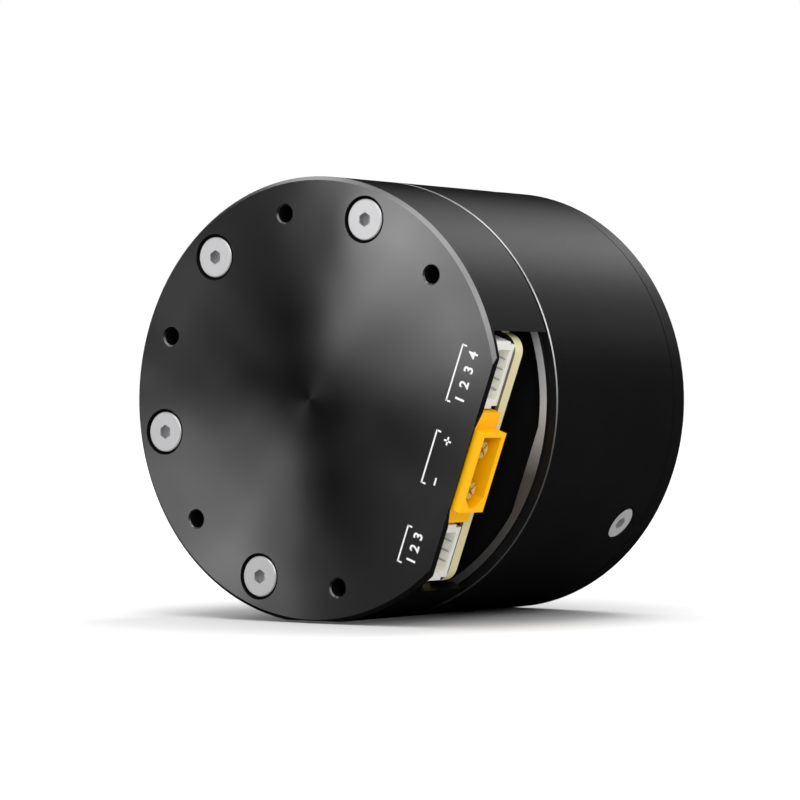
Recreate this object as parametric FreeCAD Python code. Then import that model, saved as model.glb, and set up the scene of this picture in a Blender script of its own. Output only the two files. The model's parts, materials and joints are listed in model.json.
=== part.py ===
import FreeCAD, Part
import math
import os

from FreeCAD import Placement, Rotation, Vector

# Robot joint actuator: a short round motor with its driver board behind it and one planetary
# gear stage in front of it.
#
# It is built standing on its output face: z = 0 is the output face and z grows towards the rear
# cover. +x is the side with the connectors. The last step lays it on its round side, with the
# output axis along +Y, +Z up and the connectors rolled a little below +X.
# All sizes are in millimetres.

# ---------------------------------------------------------------- driving dimensions
# Body
body_d = 53.0                 # outside diameter of all three housing parts
edge_chamfer = 0.45           # broken edge round the rear cover and the output cover
seam_chamfer = 0.4            # broken edge of the motor housing at the rear seam
roll_deg = 20.0               # the connector side points this far below the horizontal

# Fits
running_clear = 0.03          # radial clearance of turning fits
slide_clear = 0.05            # radial clearance of parts that plug together
thread_clear = 0.02           # radial clearance of a screw in its tapped hole
screw_clear = 0.10            # radial clearance of a screw in a plain hole
free_clear = 0.30             # space round parts that mustn't touch

# Screws
m25_r = 1.25                  # M2.5 shank radius
m25_tap_r = 1.025             # tapping drill for M2.5
m3_tap_r = 1.25               # tapping drill for M3
m2_r = 1.0                    # M2 shank radius
tap_chamfer = 0.2             # broken edge of a tapped hole

# Output flange and its bearing
output_disc_t = 2.0           # front disc of the flange, and the depth of the bearing seat
output_shoulder = 1.3         # how far the disc stands over the bearing's inner ring
output_proud = 0.5            # how far it stands out of the output cover
output_bearing_section = 3.5  # from bore to outside, on the radius
output_bearing_w = 4.0
output_ball_r = 0.85
output_ball_count = 14
output_hub_t = 1.4            # hub behind the bearing, up to the planet gears
pilot_r = 5.0                 # centring bore in the output face
pilot_depth = 3.0
output_bolt_inset = 4.3       # tapped holes for the driven part, inside the edge of the disc
output_bolt_count = 6
output_bolt_depth = 5.0

# Output cover
output_cover_t = 3.0          # flange of the output cover
cover_spigot_t = 2.65         # wall of the cover round the ring gear
retainer_t = 1.0              # ring between the bearing and the ring gear
retainer_step = 3.5           # seat of that ring, outside the bearing
retainer_lap = 1.1            # how far the ring reaches over the bearing's outer ring
ring_gear_wall = 2.0          # metal behind the roots of the ring gear
mount_circle_inset = 5.0      # mounting holes, inside the outside diameter
mount_hole_count = 6
mount_first_deg = 15.0
output_bolt_first_deg = 30.0
mount_hole_depth = 5.0

# Planetary gear stage
sun_teeth = 12
planet_teeth = 33
planet_count = 3
pressure_deg = 20.0
addendum = 0.4
root_clear = 0.1
backlash = 0.06               # each tooth is this much thinner than half a pitch
planet_w = 6.0
planet_play = 0.3             # free space at each end of a planet gear
planet_pin_r = 1.5
planet_bush_t = 0.7
planet_pin_seat = 3.4         # length of pin in the output flange
sun_recess_r = 4.2            # hollow in the flange round the end of the sun gear
sun_recess_depth = 1.5
carrier_plate_t = 1.5
carrier_post_r = 1.9
carrier_post_inset = 2.3      # middle of a post, inside the edge of the flange
carrier_screw_l = 5.0
carrier_head_r = 1.9

# Motor
rotor_gap = 0.8               # between the rotor and the housing
rotor_end_gap = 1.0           # between the gear stage and the rotor
bell_wall = 1.4
bell_disc_t = 1.5
bell_hub_t = 1.0
magnet_t = 1.6
magnet_count = 14
magnet_side_gap = 0.5
magnet_overlap = 0.4          # magnets reach this far past the core at each end
air_gap = 0.5
shaft_r = 3.5
shaft_nose_r = 1.5            # thin end that carries the sun gear
sun_hub_r = 2.4
core_h = 6.6                  # laminated stack
core_yoke_t = 2.6
slot_depth = 7.8
core_shoe_t = 1.0
tooth_w = 3.2
slot_mouth = 1.4
slot_count = 12
winding_overhang = 1.1
winding_end_gap = 0.65
winding_side_gap = 0.4
slot_liner = 0.1
bearing_section = 2.0         # the two rotor bearings, from shaft to outside
bearing_w = 3.0
bearing_ball_share = 0.3      # radius of a ball, as a share of the section
bearing_ball_count = 7
race_groove_clear = 0.02
bearing_shoulder = 0.7        # step in the bearing bore

# Motor housing
housing_wall = 1.8
bulkhead_t = 1.8
rim_depth = 0.6               # hollow behind the rear rim
spigot_h = 0.5                # ring that centres the rear cover
spigot_t = 0.95
spigot_flat_inset = 0.6       # flat on the inside of the ring, in front of the connectors
core_shoulder = 2.0           # step of the boss that the core sits against
lead_r = 0.6
lead_hole_r = 1.2
side_screw_rise = 4.35        # side screws, from the front edge of the housing
side_screw_first_deg = -15.0
side_screw_count = 3
side_head_r = 2.2
side_screw_l = 4.0

# Rear cover
seam_gap = 0.25
cover_depth = 12.25
cover_plate_t = 1.0
cover_wall = 1.6
cover_register_depth = 0.6
flat_inset = 3.65             # flat on the edge of the plate, above the connectors
notch_side_gap = 1.175        # end of the gap in the skirt, past the last connector
screw_circle_inset = 4.0      # cover screws and tapped holes, inside the outside diameter
post_r = 2.6
cover_head_r = 2.45
cover_sink_r = 2.8
cover_screw_l = 10.5
cover_screw_degs = (90.0, 150.0, 210.0, 270.0)
cover_tap_degs = (60.0, 120.0, 180.0, 240.0, 300.0)
cover_tap_depth = 4.5

# Driver board
board_t = 1.6
standoff_h = 5.65
standoff_r = 1.9
standoff_stud_l = 1.5
board_inset = 1.15            # board edge behind the flat of the plate
board_tab_clear = 0.8         # board edge to each end of the notch
board_corner_r = 2.0

# Encoder
magnet_holder_wall = 0.9
encoder_magnet_r = 3.0
encoder_magnet_t = 2.5
encoder_gap = 0.65
encoder_chip_w = 3.0
encoder_chip_t = 0.9
holder_stem_l = 3.0

# Power connector
power_centre = -0.29          # sideways offset of the middle
power_shroud_w = 9.8
power_shroud_h = 4.9
power_shroud_reach = 2.3      # front face, past the board edge
power_shroud_rise = 0.35      # underside, above the board
power_body_w = 13.6
power_body_reach = 0.55
power_body_l = 10.0
power_shoulder_drop = 0.6     # slope of the body down to its two sides
power_wall = 0.55
power_floor = 0.8
power_key = 1.2               # two cut corners at the minus end
power_cavity_depth = 7.0
power_pin_r = 1.0
power_pin_pitch = 5.0
power_pin_setback = 0.9       # pin tips behind the front face
power_pin_l = 9.0
power_pin_slot = 0.3
power_pin_slot_depth = 3.0

# Signal connectors
signal_pitch = 1.25
signal_side = 2.25            # housing past the last contact, each side
signal_h = 4.05
signal_l = 6.0
signal_wall = 0.7
signal_mouth_h = 2.3
signal_mouth_depth = 4.2
signal_foot_w = 0.35          # step in each side
signal_foot_h = 1.1
serial_count = 3
serial_gap = 0.51             # beside the power connector
serial_setback = 0.1
bus_count = 4
bus_gap = 0.165
bus_setback = 0.3
contact_w = 0.3
contact_l = 3.4

# Chips
transistor_w = 3.3
transistor_t = 0.85
transistor_circle_r = 15.0
transistor_degs = (118.0, 134.0, 150.0, 210.0, 226.0, 242.0)
controller_w = 7.0
controller_t = 1.0
capacitor_w = 2.5
capacitor_l = 3.2
capacitor_t = 2.2
capacitor_circle_r = 10.0
capacitor_degs = (75.0, 105.0, 255.0, 285.0)
edge_chip_w = 3.0
edge_chip_l = 1.6
edge_chip_t = 0.5
edge_chip_centre = 11.5

# ---------------------------------------------------------------- radii that follow
body_r = body_d / 2
bolt_circle_r = body_r - screw_circle_inset
mount_circle_r = body_r - mount_circle_inset
housing_bore_r = body_r - housing_wall
bell_r = housing_bore_r - rotor_gap
magnet_r = bell_r - bell_wall
magnet_bore_r = magnet_r - magnet_t
core_r = magnet_bore_r - air_gap
bearing_r = shaft_r + bearing_section
bearing_ball_r = bearing_ball_share * bearing_section
core_yoke_r = core_r - core_shoe_t - slot_depth
core_bore_r = core_yoke_r - core_yoke_t
lead_circle_r = core_yoke_r + slot_depth / 2
ring_gear_r = housing_bore_r - slide_clear - cover_spigot_t
ring_teeth = sun_teeth + 2 * planet_teeth
ring_pitch_r = ring_gear_r - ring_gear_wall - root_clear - addendum
module = 2 * ring_pitch_r / ring_teeth
sun_pitch_r = module * sun_teeth / 2
planet_pitch_r = module * planet_teeth / 2
planet_circle_r = sun_pitch_r + planet_pitch_r
output_bearing_r = ring_gear_r - retainer_step
output_bearing_bore_r = output_bearing_r - output_bearing_section
output_r = output_bearing_bore_r + output_shoulder
output_bolt_circle_r = output_r - output_bolt_inset
carrier_post_circle_r = output_bearing_bore_r - carrier_post_inset
cover_bore_r = body_r - cover_wall
flat_x = body_r - flat_inset
board_x = flat_x - board_inset
board_r = cover_bore_r - free_clear - slide_clear * 2
spigot_r = body_r - cover_wall + 0.55

# ---------------------------------------------------------------- levels that follow
z_cover_front = output_proud
z_bearing = output_disc_t
z_retainer = z_bearing + output_bearing_w
z_ring_gear = z_retainer + retainer_t
z_carrier_face = z_retainer + output_hub_t
z_planet = z_carrier_face + planet_play
z_carrier_plate = z_planet + planet_w + planet_play
z_carrier_end = z_carrier_plate + carrier_plate_t
z_bell = z_carrier_end + rotor_end_gap
z_bell_floor = z_bell + bell_disc_t
z_winding = z_bell_floor + winding_end_gap
z_core = z_winding + winding_overhang
z_core_end = z_core + core_h
z_winding_end = z_core_end + winding_overhang
z_bulkhead = z_winding_end + winding_end_gap
z_bulkhead_end = z_bulkhead + bulkhead_t
z_rim = z_bulkhead_end + rim_depth
z_spigot = z_rim + spigot_h
z_skirt = z_rim + seam_gap
z_rear = z_skirt + cover_depth
z_plate = z_rear - cover_plate_t
z_housing = z_cover_front + output_cover_t
z_front_bearing = z_bell_floor + bell_hub_t
z_rear_bearing = z_bulkhead_end - bearing_w
z_board = z_bulkhead_end + standoff_h
z_board_top = z_board + board_t


# ---------------------------------------------------------------- helpers
def polar(radius, degrees):
    angle = math.radians(degrees)
    return radius * math.cos(angle), radius * math.sin(angle)


def rod(radius, z0, z1, at=(0.0, 0.0)):
    return Part.makeCylinder(radius, z1 - z0, Vector(at[0], at[1], z0))


def tube(radius, bore, z0, z1):
    return rod(radius, z0, z1).cut(rod(bore, z0, z1))


def block(x0, x1, y0, y1, z0, z1):
    return Part.makeBox(x1 - x0, y1 - y0, z1 - z0, Vector(x0, y0, z0))


def turned(profile):
    """A solid of revolution about z, from its half section as (radius, z) corners."""
    corners = [Vector(r, 0, z) for r, z in profile]
    face = Part.Face(Part.makePolygon(corners + corners[:1]))
    return face.revolve(Vector(0, 0, 0), Vector(0, 0, 1), 360)


def prism(outline, z0, z1):
    """An upright prism on (x, y) corners."""
    corners = [Vector(x, y, z0) for x, y in outline]
    face = Part.Face(Part.makePolygon(corners + corners[:1]))
    return face.extrude(Vector(0, 0, z1 - z0))


def bar_along_x(outline, x0, x1):
    """A prism along x on (y, z) corners."""
    corners = [Vector(x0, y, z) for y, z in outline]
    face = Part.Face(Part.makePolygon(corners + corners[:1]))
    return face.extrude(Vector(x1 - x0, 0, 0))


def spun(shape, degrees):
    copy = shape.copy()
    copy.rotate(Vector(0, 0, 0), Vector(0, 0, 1), degrees)
    return copy


def ring_of(shape, count, first=0.0):
    """Copies of a shape, evenly spaced about z."""
    return [spun(shape, first + 360.0 * i / count) for i in range(count)]


def joined(shapes):
    return shapes[0].multiFuse(shapes[1:]).removeSplitter()


def export(node, shape):
    """Lay the piece down in the row frame and write its file."""
    laid = shape.copy()
    laid.Placement = lay_down.multiply(laid.Placement)
    laid.exportStep("parts/" + node + ".step")


lay_down = Placement(
    Vector(0, 0, 0),
    Rotation(Vector(0, 1, 0), roll_deg).multiply(Rotation(Vector(1, 0, 0), 90)),
)


def countersunk_screw(head_r, shank_r, length, socket_r):
    """A countersunk hex-socket screw, head up, with its top face at z = 0."""
    head_h = head_r - shank_r
    body = turned([
        (0, 0),
        (head_r, 0),
        (shank_r, -head_h),
        (shank_r, -length),
        (0, -length),
    ])
    corners = [polar(socket_r, 60.0 * i) for i in range(6)]
    return body.cut(prism(corners, -0.8 * head_h, 1))


def countersink(head_r, hole_r):
    """The space that a countersunk hole takes out of a plate whose face is at z = 0."""
    return turned([(0, 0.5), (head_r, 0.5), (head_r, 0), (hole_r, hole_r - head_r), (0, hole_r - head_r)])


def tapped_hole(radius, depth):
    """The space of a tapped hole that goes down from z = 0, with its edge broken."""
    return turned([
        (0, 0.5),
        (radius + tap_chamfer, 0.5),
        (radius + tap_chamfer, 0),
        (radius, -tap_chamfer),
        (radius, -depth),
        (0, -depth),
    ])


def moved(shape, x, y, z):
    copy = shape.copy()
    copy.translate(Vector(x, y, z))
    return copy


def radial(shape, degrees, radius, z):
    """A shape made along z, top at z = 0, turned to stand out along a radius."""
    copy = shape.copy()
    copy.rotate(Vector(0, 0, 0), Vector(0, 1, 0), 90)
    copy.translate(Vector(radius, 0, z))
    return spun(copy, degrees)


# ---------------------------------------------------------------- gear teeth
def involute(radius, base_r):
    """How far an involute has turned where it reaches a radius."""
    if radius <= base_r:
        return 0.0
    reach = math.sqrt((radius / base_r) ** 2 - 1)
    return reach - math.atan(reach)


def toothed_outline(teeth, low_r, high_r, thicker):
    """Corners of a ring of involute teeth between two radii, with a tooth centred on +x."""
    pitch_r = module * teeth / 2
    base_r = pitch_r * math.cos(math.radians(pressure_deg))
    radii = (low_r, pitch_r, high_r)
    half = [
        math.pi / (2 * teeth) + thicker / (2 * pitch_r) + involute(pitch_r, base_r) - involute(r, base_r)
        for r in radii
    ]
    corners = []
    for i in range(teeth):
        centre = 2 * math.pi * i / teeth
        for r, h in zip(radii, half):
            corners.append((r * math.cos(centre - h), r * math.sin(centre - h)))
        for r, h in zip(radii[::-1], half[::-1]):
            corners.append((r * math.cos(centre + h), r * math.sin(centre + h)))
    return corners


def outer_gear(teeth, z0, z1):
    pitch_r = module * teeth / 2
    outline = toothed_outline(teeth, pitch_r - addendum - root_clear, pitch_r + addendum, -backlash)
    return prism(outline, z0, z1)


def inner_gear(teeth, outside_r, z0, z1):
    pitch_r = module * teeth / 2
    space = toothed_outline(teeth, pitch_r - addendum, pitch_r + addendum + root_clear, backlash)
    return rod(outside_r, z0, z1).cut(prism(space, z0, z1))


# ---------------------------------------------------------------- ball bearings
def ball_bearing(bore_r, outside_r, ball_r, ball_count, z0, width):
    """Inner ring, outer ring and balls of a deep-groove bearing."""
    ball_circle_r = (bore_r + outside_r) / 2
    land = 0.45 * ball_r
    groove = Part.makeTorus(ball_circle_r, ball_r + race_groove_clear)
    groove.translate(Vector(0, 0, z0 + width / 2))
    inner = tube(ball_circle_r - land, bore_r, z0, z0 + width).cut(groove)
    outer = tube(outside_r, ball_circle_r + land, z0, z0 + width).cut(groove)
    ball = Part.makeSphere(ball_r, Vector(ball_circle_r, 0, z0 + width / 2))
    return inner, outer, Part.makeCompound(ring_of(ball, ball_count))


# ---------------------------------------------------------------- output side
def make_output_cover():
    body = turned([
        (output_r + free_clear, z_cover_front),
        (body_r - edge_chamfer, z_cover_front),
        (body_r, z_cover_front + edge_chamfer),
        (body_r, z_housing),
        (housing_bore_r - slide_clear, z_housing),
        (housing_bore_r - slide_clear, z_carrier_end),
        (ring_gear_r, z_carrier_end),
        (ring_gear_r, z_retainer),
        (output_bearing_r, z_retainer),
        (output_bearing_r, z_bearing),
        (output_r + free_clear, z_bearing),
    ])
    hole = tapped_hole(m3_tap_r, mount_hole_depth)
    hole.rotate(Vector(0, 0, 0), Vector(1, 0, 0), 180)
    hole = moved(hole, mount_circle_r, 0, z_cover_front)
    holes = ring_of(hole, mount_hole_count, mount_first_deg)
    side = radial(rod(m25_r + thread_clear, -side_screw_l - 0.3, 0.5), 0, body_r,
                  z_housing + side_screw_rise)
    sides = ring_of(side, side_screw_count, side_screw_first_deg)
    return body.cut(joined(holes)).cut(Part.makeCompound(sides))


def make_output_flange():
    body = turned([
        (pilot_r, 0),
        (output_r - tap_chamfer, 0),
        (output_r, tap_chamfer),
        (output_r, z_bearing),
        (output_bearing_bore_r, z_bearing),
        (output_bearing_bore_r, z_carrier_face),
        (sun_recess_r, z_carrier_face),
        (sun_recess_r, z_carrier_face - sun_recess_depth),
        (0, z_carrier_face - sun_recess_depth),
        (0, pilot_depth),
        (pilot_r, pilot_depth),
    ])
    post = rod(carrier_post_r, z_carrier_face - 1, z_carrier_plate, (carrier_post_circle_r, 0))
    posts = ring_of(post, planet_count, 180.0 / planet_count)
    bolt = tapped_hole(m3_tap_r, output_bolt_depth)
    bolt.rotate(Vector(0, 0, 0), Vector(1, 0, 0), 180)
    bolts = ring_of(moved(bolt, output_bolt_circle_r, 0, 0), output_bolt_count, output_bolt_first_deg)
    pin_hole = rod(planet_pin_r, z_carrier_face - planet_pin_seat, z_carrier_face + 1, (planet_circle_r, 0))
    screw_hole = rod(m2_r + thread_clear, z_carrier_end - carrier_screw_l - 0.3, z_carrier_plate + 1,
                     (carrier_post_circle_r, 0))
    holes = bolts + ring_of(pin_hole, planet_count) + ring_of(screw_hole, planet_count, 180.0 / planet_count)
    return joined([body] + posts).cut(Part.makeCompound(holes))


def make_carrier_plate():
    plate = tube(output_bearing_bore_r, sun_recess_r, z_carrier_plate, z_carrier_end)
    pin_hole = rod(planet_pin_r, z_carrier_plate - 1, z_carrier_end + 1, (planet_circle_r, 0))
    sink = countersink(carrier_head_r + screw_clear, m2_r + screw_clear)
    sink = moved(sink, carrier_post_circle_r, 0, z_carrier_end)
    plain = rod(m2_r + screw_clear, z_carrier_plate - 1, z_carrier_end + 1, (carrier_post_circle_r, 0))
    holes = ring_of(pin_hole, planet_count)
    holes += ring_of(joined([sink, plain]), planet_count, 180.0 / planet_count)
    return plate.cut(Part.makeCompound(holes))


def make_carrier_screws():
    screw = countersunk_screw(carrier_head_r, m2_r, carrier_screw_l, 0.7)
    screw = moved(screw, carrier_post_circle_r, 0, z_carrier_end)
    return Part.makeCompound(ring_of(screw, planet_count, 180.0 / planet_count))


def make_planet(index):
    """A planet gear and its bush, in mesh with a tooth pointing straight out."""
    gear = outer_gear(planet_teeth, z_planet, z_planet + planet_w)
    bush_r = planet_pin_r + running_clear + planet_bush_t
    gear = gear.cut(rod(bush_r, z_planet - 1, z_planet + planet_w + 1))
    bush = tube(bush_r, planet_pin_r + running_clear, z_planet, z_planet + planet_w)
    turn = 360.0 * index / planet_count
    return [spun(moved(piece, planet_circle_r, 0, 0), turn) for piece in (gear, bush)]


def make_planet_pins():
    pin = rod(planet_pin_r, z_carrier_face - planet_pin_seat, z_carrier_end, (planet_circle_r, 0))
    return Part.makeCompound(ring_of(pin, planet_count))


def make_sun_gear():
    teeth = outer_gear(sun_teeth, z_carrier_face, z_carrier_plate)
    hub = rod(sun_hub_r, z_carrier_plate - 1, z_bell)
    return joined([teeth, hub]).cut(rod(shaft_nose_r, z_carrier_face - 1, z_bell + 1))


# ---------------------------------------------------------------- motor
def make_motor_housing():
    body = turned([
        (housing_bore_r, z_housing),
        (body_r, z_housing),
        (body_r, z_rim - seam_chamfer),
        (body_r - seam_chamfer, z_rim),
        (spigot_r, z_rim),
        (spigot_r, z_spigot),
        (spigot_r - spigot_t, z_spigot),
        (spigot_r - spigot_t, z_bulkhead_end),
        (bearing_r, z_bulkhead_end),
        (bearing_r, z_rear_bearing),
        (bearing_r - bearing_shoulder, z_rear_bearing),
        (bearing_r - bearing_shoulder, z_front_bearing + bearing_w),
        (bearing_r, z_front_bearing + bearing_w),
        (bearing_r, z_front_bearing),
        (core_bore_r, z_front_bearing),
        (core_bore_r, z_core_end),
        (core_bore_r + core_shoulder, z_core_end),
        (core_bore_r + core_shoulder, z_bulkhead),
        (housing_bore_r, z_bulkhead),
    ])
    pocket_r = spigot_r - spigot_t
    flat = rod(pocket_r + 0.2, z_bulkhead_end - 0.2, z_spigot)
    flat = flat.common(block(pocket_r - spigot_flat_inset, body_r, -body_r, body_r, z_bulkhead, z_spigot))
    cuts = [rod(lead_hole_r, z_bulkhead - 1, z_bulkhead_end + 1, polar(lead_circle_r, a)) for a in lead_degs]
    cuts += [
        rod(m25_r + thread_clear, z_bulkhead - 1, z_bulkhead_end + 1, polar(bolt_circle_r, a))
        for a in cover_screw_degs
    ]
    sink = countersink(side_head_r + screw_clear, m25_r + screw_clear)
    sink = joined([sink, rod(m25_r + screw_clear, -housing_wall - 1, 0)])
    side = radial(sink, 0, body_r, z_housing + side_screw_rise)
    cuts += ring_of(side, side_screw_count, side_screw_first_deg)
    return joined([body, flat]).cut(Part.makeCompound(cuts))


def make_side_screws():
    screw = countersunk_screw(side_head_r, m25_r, side_screw_l, 0.87)
    side = radial(screw, 0, body_r - screw_clear, z_housing + side_screw_rise)
    return Part.makeCompound(ring_of(side, side_screw_count, side_screw_first_deg))


def make_stator_core():
    yoke = tube(core_yoke_r, core_bore_r, z_core, z_core_end)
    shoes = tube(core_r, core_r - core_shoe_t, z_core, z_core_end)
    tooth = block(core_yoke_r - core_yoke_t / 2, core_r - core_shoe_t / 2, -tooth_w / 2, tooth_w / 2,
                  z_core, z_core_end)
    mouth = block(core_r - core_shoe_t - 0.5, core_r + 1, -slot_mouth / 2, slot_mouth / 2,
                  z_core - 1, z_core_end + 1)
    shoes = shoes.cut(Part.makeCompound(ring_of(mouth, slot_count, 180.0 / slot_count)))
    return joined([yoke, shoes] + ring_of(tooth, slot_count))


def make_windings():
    """One coil round each stator tooth, as wide as its slot lets it be."""
    near = core_yoke_r + slot_liner
    far = core_r - core_shoe_t - slot_liner
    slope = math.tan(math.pi / slot_count)
    near_w = near * slope - winding_side_gap
    far_w = far * slope - winding_side_gap
    coil = prism([(near, -near_w), (far, -far_w), (far, far_w), (near, near_w)], z_winding, z_winding_end)
    along = [e for e in coil.Edges if abs(e.Vertexes[0].Point.x - e.Vertexes[1].Point.x) > 1]
    coil = coil.makeFillet(0.8 * winding_overhang, along).common(rod(far, z_winding, z_winding_end))
    window = block(near - 1, far + 1, -tooth_w / 2 - slot_liner, tooth_w / 2 + slot_liner,
                   z_core - slot_liner, z_core_end + slot_liner)
    return Part.makeCompound(ring_of(coil.cut(window), slot_count))


def make_phase_leads():
    leads = [rod(lead_r, z_winding_end, z_board, polar(lead_circle_r, a)) for a in lead_degs]
    return Part.makeCompound(leads)


def make_rotor_bell():
    end = z_core_end + magnet_overlap
    return turned([
        (shaft_r, z_bell),
        (bell_r - seam_chamfer, z_bell),
        (bell_r, z_bell + seam_chamfer),
        (bell_r, end),
        (magnet_r, end),
        (magnet_r, z_bell_floor),
        (bearing_inner_land_r, z_bell_floor),
        (bearing_inner_land_r, z_front_bearing),
        (shaft_r, z_front_bearing),
    ])


def make_rotor_magnets():
    ring = tube(magnet_r, magnet_bore_r, z_core - magnet_overlap, z_core_end + magnet_overlap)
    half = magnet_side_gap / 2
    gap = block(magnet_bore_r - 1, magnet_r + 1, -half, half, z_bell, z_bulkhead)
    return ring.cut(Part.makeCompound(ring_of(gap, magnet_count)))


def make_rotor_shaft():
    end = z_bulkhead_end + rim_depth
    stem_hole = rod(shaft_nose_r, end - holder_stem_l, end)
    body = turned([
        (0, z_carrier_face),
        (shaft_nose_r, z_carrier_face),
        (shaft_nose_r, z_bell),
        (shaft_r, z_bell),
        (shaft_r, end),
        (0, end),
    ])
    return body.cut(stem_hole)


def make_bearing_spacer():
    return tube(bearing_inner_land_r, shaft_r, z_front_bearing + bearing_w, z_rear_bearing)


def make_magnet_holder():
    shaft_end = z_bulkhead_end + rim_depth
    outside_r = encoder_magnet_r + magnet_holder_wall
    lip = z_encoder_magnet + 0.6 * encoder_magnet_t
    return turned([
        (0, shaft_end - holder_stem_l),
        (shaft_nose_r, shaft_end - holder_stem_l),
        (shaft_nose_r, shaft_end),
        (outside_r, shaft_end),
        (outside_r, lip),
        (encoder_magnet_r, lip),
        (encoder_magnet_r, z_encoder_magnet),
        (0, z_encoder_magnet),
    ])


# ---------------------------------------------------------------- driver board and connectors
def make_circuit_board():
    tab_half = notch_half - board_tab_clear
    tab = block(0, board_x, -tab_half, tab_half, z_board, z_board_top)
    corners = [e for e in tab.Edges if e.Length < board_t + 0.01 and e.Vertexes[0].Point.x > 1
               and abs(e.Vertexes[0].Point.z - e.Vertexes[1].Point.z) > 0.5 * board_t]
    tab = tab.makeFillet(board_corner_r, corners)
    disc = rod(board_r, z_board, z_board_top)
    disc = disc.common(block(-body_r, board_x, -body_r, body_r, z_board, z_board_top))
    holes = [rod(m25_r + screw_clear, z_board - 1, z_board_top + 1, polar(bolt_circle_r, a))
             for a in cover_screw_degs]
    return joined([disc, tab]).cut(Part.makeCompound(holes))


def make_standoffs():
    pieces = []
    for degrees in cover_screw_degs:
        at = polar(bolt_circle_r, degrees)
        post = rod(standoff_r, z_bulkhead_end, z_board, at)
        stud = rod(m25_r, z_bulkhead_end - standoff_stud_l, z_bulkhead_end + 1, at)
        bore = rod(m25_r + thread_clear, z_rear - cover_screw_l - 0.6, z_board + 1, at)
        pieces.append(joined([post, stud]).cut(bore))
    return Part.makeCompound(pieces)


def make_rear_cover():
    body = turned([
        (0, z_plate),
        (cover_bore_r, z_plate),
        (cover_bore_r, z_skirt + cover_register_depth),
        (spigot_r + 2 * slide_clear, z_skirt + cover_register_depth),
        (spigot_r + 2 * slide_clear, z_skirt),
        (body_r, z_skirt),
        (body_r, z_rear - edge_chamfer),
        (body_r - edge_chamfer, z_rear),
        (0, z_rear),
    ])
    inside = rod(cover_bore_r + 0.2, z_board, z_rear)
    posts = [rod(post_r, z_board_top, z_plate + 0.5, polar(bolt_circle_r, a)) for a in cover_screw_degs]
    boss_end = z_rear - cover_tap_depth
    posts += [rod(post_r, boss_end, z_plate + 0.5, polar(bolt_circle_r, a)) for a in cover_tap_degs]
    body = joined([body] + [post.common(inside) for post in posts])
    notch = block(0, body_r + 1, -notch_half, notch_half, z_skirt - 1, z_plate)
    notch = notch.cut(rod(cover_bore_r - 0.2, z_skirt - 1, z_plate))
    flat = block(flat_x, body_r + 1, -body_r, body_r, z_plate - 1, z_rear + 1)
    relief = bar_along_x(power_outline(power_relief), power_back_x - power_relief, body_r)
    cuts = [notch, flat, relief]
    sink = countersink(cover_sink_r, m25_r + screw_clear)
    plain = rod(m25_r + screw_clear, z_board_top - z_rear - 1, 0)
    for degrees in cover_screw_degs:
        x, y = polar(bolt_circle_r, degrees)
        cuts.append(moved(joined([sink, plain]), x, y, z_rear))
    for degrees in cover_tap_degs:
        x, y = polar(bolt_circle_r, degrees)
        cuts.append(moved(tapped_hole(m25_tap_r, cover_tap_depth + 1), x, y, z_rear))
    return body.cut(Part.makeCompound(cuts))


def make_cover_screws():
    screw = countersunk_screw(cover_head_r, m25_r, cover_screw_l, 0.87)
    top = z_rear - (cover_sink_r - cover_head_r)
    places = [polar(bolt_circle_r, a) for a in cover_screw_degs]
    return Part.makeCompound([moved(screw, x, y, top) for x, y in places])


def power_outline(grown=0.0):
    """Section of the power connector's body, as (y, z): two sloping shoulders under the plate."""
    wide = power_body_w / 2 + grown
    high = power_shroud_w / 2 + grown
    top = z_power + power_shroud_h + grown
    low = z_board_top
    return [
        (power_centre - wide, low),
        (power_centre + wide, low),
        (power_centre + wide, top - power_shoulder_drop),
        (power_centre + high, top),
        (power_centre - high, top),
        (power_centre - wide, top - power_shoulder_drop),
    ]


def make_power_connector():
    front = board_x + power_shroud_reach
    body_front = board_x + power_body_reach
    body = bar_along_x(power_outline(), power_back_x, body_front)
    half = power_shroud_w / 2
    shroud = block(body_front - 1, front, power_centre - half, power_centre + half,
                   z_power, z_power + power_shroud_h)
    inner_half = half - power_wall
    low = z_power + power_floor
    high = z_power + power_shroud_h - power_wall
    left = power_centre - inner_half
    right = power_centre + inner_half
    cavity = bar_along_x([
        (left + power_key, low),
        (right, low),
        (right, high),
        (left + power_key, high),
        (left, high - power_key),
        (left, low + power_key),
    ], front - power_cavity_depth, front + 1)
    pins = [power_pin(side, power_back_x - 1) for side in (-1, 1)]
    return joined([body, shroud]).cut(cavity).cut(Part.makeCompound(pins))


def power_pin(side, back):
    y = power_centre + side * power_pin_pitch / 2
    z = z_power + (power_floor + power_shroud_h - power_wall) / 2
    tip = board_x + power_shroud_reach - power_pin_setback
    return Part.makeCylinder(power_pin_r, tip - back, Vector(back, y, z), Vector(1, 0, 0))


def make_power_pins():
    """Two round pins, split crosswise at the tip."""
    tip = board_x + power_shroud_reach - power_pin_setback
    pins = []
    for side in (-1, 1):
        pin = power_pin(side, tip - power_pin_l)
        centre = pin.BoundBox.Center
        for tilt in (45, 135):
            slot = block(tip - power_pin_slot_depth, tip + 1, -power_pin_slot / 2, power_pin_slot / 2,
                         -power_pin_r - 1, power_pin_r + 1)
            slot.rotate(Vector(0, 0, 0), Vector(1, 0, 0), tilt)
            slot.translate(Vector(0, centre.y, centre.z))
            pin = pin.cut(slot)
        pins.append(pin)
    return Part.makeCompound(pins)


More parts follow.
